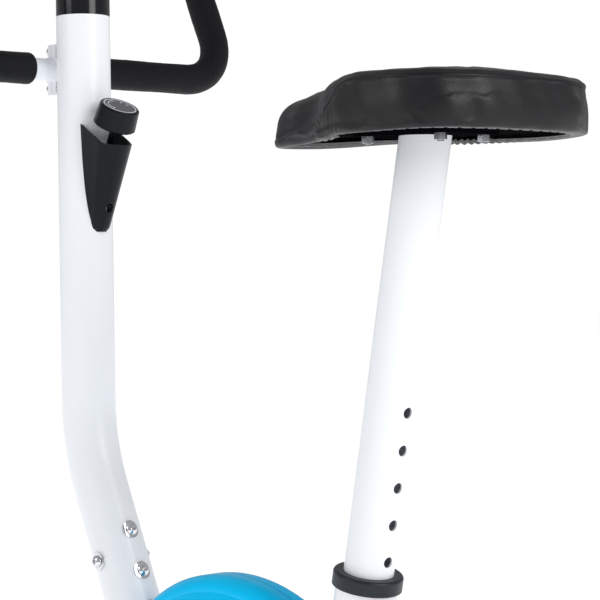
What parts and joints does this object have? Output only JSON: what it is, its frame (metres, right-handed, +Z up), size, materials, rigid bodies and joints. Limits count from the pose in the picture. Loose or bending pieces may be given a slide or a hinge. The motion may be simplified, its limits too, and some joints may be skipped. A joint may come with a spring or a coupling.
{
  "type": "exercise bike",
  "caption": "Upright exercise bike with padded saddle on a sliding post, bent handlebar with foam grips, tension knob, console, oval chain cover, crank and floor stabilizers.",
  "frame": {"origin": "centre of the bounding box in plan, on the floor", "axes": "+X forwards, the way the rider faces; +Y to the rider's left; +Z up"},
  "size_m": [0.8369, 0.5214, 1.1202],
  "materials": {
    "white_paint": "gloss white paint",
    "frame_black": "gloss black paint",
    "cover_blue": "gloss blue moulding",
    "cover_blue_right": "gloss blue moulding",
    "black_plastic": "satin black moulding",
    "slate_plastic": "satin dark slate moulding",
    "rubber": "matt rubber",
    "foam": "closed cell foam",
    "leatherette": "satin leatherette",
    "zinc": "zinc plated",
    "chrome": "bright chrome",
    "iron": "machined cast iron",
    "belt": "ribbed belt",
    "felt": "felt lined strap",
    "board": "plywood",
    "lens": "clear window",
    "button": "soft button",
    "steel": "bare steel",
    "grey_plastic": "grey moulding"
  },
  "bodies": {
    "frame": {"base_beam": "white_paint", "seat_tube": "white_paint", "seat_bushing": "slate_plastic", "front_stub": "white_paint", "bottom_bracket": "white_paint", "bearings": "steel", "flywheel_brackets": "frame_black", "flywheel_axle": "zinc", "cover_left": "cover_blue", "cover_right": "cover_blue_right", "cover_screws": "zinc", "front_post": "white_paint", "post_bolts": "chrome", "post_washers": "chrome", "top_sleeve": "frame_black", "stabilizer_front": "white_paint", "stabilizer_rear": "white_paint", "stabilizer_bolts": "zinc", "cap_front_left": "rubber", "cap_front_right": "rubber", "cap_rear_left": "rubber", "cap_rear_right": "rubber", "tension_housing": "black_plastic", "tension_cable": "steel", "brake_band": "felt", "brake_spring": "steel", "drive_belt": "belt", "clamp_base": "white_paint", "clamp_cap": "white_paint", "clamp_bolts": "zinc", "console_back": "black_plastic", "console_front": "black_plastic", "console_lens": "lens"},
    "seat": {"seat_post": "white_paint", "seat_bracket": "frame_black", "seat_pan": "board", "seat_cushion": "leatherette", "seat_nuts": "zinc"},
    "seat_knob": {"seat_knob": "black_plastic", "seat_pin": "zinc"},
    "crank": {"crank_axle": "steel", "crank_pulley": "grey_plastic", "crank_arm_left": "chrome", "crank_arm_right": "chrome", "crank_nuts": "black_plastic", "pedal_spindles": "zinc"},
    "pedal_left": {"pedal_left": "black_plastic", "strap_left": "rubber"},
    "pedal_right": {"pedal_right": "black_plastic", "strap_right": "rubber"},
    "flywheel": {"flywheel": "iron", "flywheel_pulley": "steel"},
    "tension_knob": {"tension_knob": "black_plastic"},
    "tension_nut": {"tension_nut": "grey_plastic"},
    "handlebar": {"handlebar_tube": "white_paint", "grip_left": "foam", "grip_right": "foam"},
    "wheel_left": {"wheel_left": "grey_plastic"},
    "wheel_right": {"wheel_right": "grey_plastic"},
    "console_button": {"console_button": "button"}
  },
  "joints": [
    {"name": "seat_height", "type": "slide", "parent": "frame", "child": "seat", "axis": [-0.1771, 0, 0.9842], "range_m": [-0.216, 0.036]},
    {"name": "seat_knob_press", "type": "slide", "parent": "frame", "child": "seat_knob", "axis": [0.9842, 0, 0.1771], "range_m": [0, 0.0055]},
    {"name": "flywheel_spin", "type": "hinge", "parent": "frame", "child": "flywheel", "pos_m": [0.0292, 0, 0.312], "axis": [0, 1, 0], "continuous": true},
    {"name": "crank_spin", "type": "hinge", "parent": "frame", "child": "crank", "pos_m": [-0.0308, 0, 0.222], "axis": [0, 1, 0], "continuous": true},
    {"name": "pedal_left_spin", "type": "hinge", "parent": "crank", "child": "pedal_left", "pos_m": [0.07957, 0.118, 0.16332], "axis": [0, 1, 0], "continuous": true},
    {"name": "pedal_right_spin", "type": "hinge", "parent": "crank", "child": "pedal_right", "pos_m": [-0.14117, -0.118, 0.28068], "axis": [0, 1, 0], "continuous": true},
    {"name": "tension_turn", "type": "hinge", "parent": "frame", "child": "tension_knob", "pos_m": [0.2272, 0, 0.8775], "axis": [-0.454, 0, 0.891], "range_deg": [0, 720]},
    {"name": "tension_nut_travel", "type": "slide", "parent": "frame", "child": "tension_nut", "axis": [-0.454, 0, 0.891], "range_m": [0, 0.015]},
    {"name": "handlebar_tilt", "type": "hinge", "parent": "frame", "child": "handlebar", "pos_m": [0.3282, 0, 0.9453], "axis": [0, 1, 0], "range_deg": [-12, 12]},
    {"name": "wheel_left_spin", "type": "hinge", "parent": "frame", "child": "wheel_left", "pos_m": [0.3822, 0.1938, 0.03], "axis": [0, 1, 0], "continuous": true},
    {"name": "wheel_right_spin", "type": "hinge", "parent": "frame", "child": "wheel_right", "pos_m": [0.3822, -0.1938, 0.03], "axis": [0, 1, 0], "continuous": true},
    {"name": "console_button_press", "type": "slide", "parent": "frame", "child": "console_button", "axis": [0.7431, 0, -0.6691], "range_m": [0, 0.0015], "stiffness_N_per_m": 400}
  ],
  "couplings": [
    {"joint": "crank_spin", "follows": "flywheel_spin", "ratio": 0.2},
    {"joint": "tension_turn", "follows": "tension_nut_travel", "rad_per_m": 837.76}
  ]
}
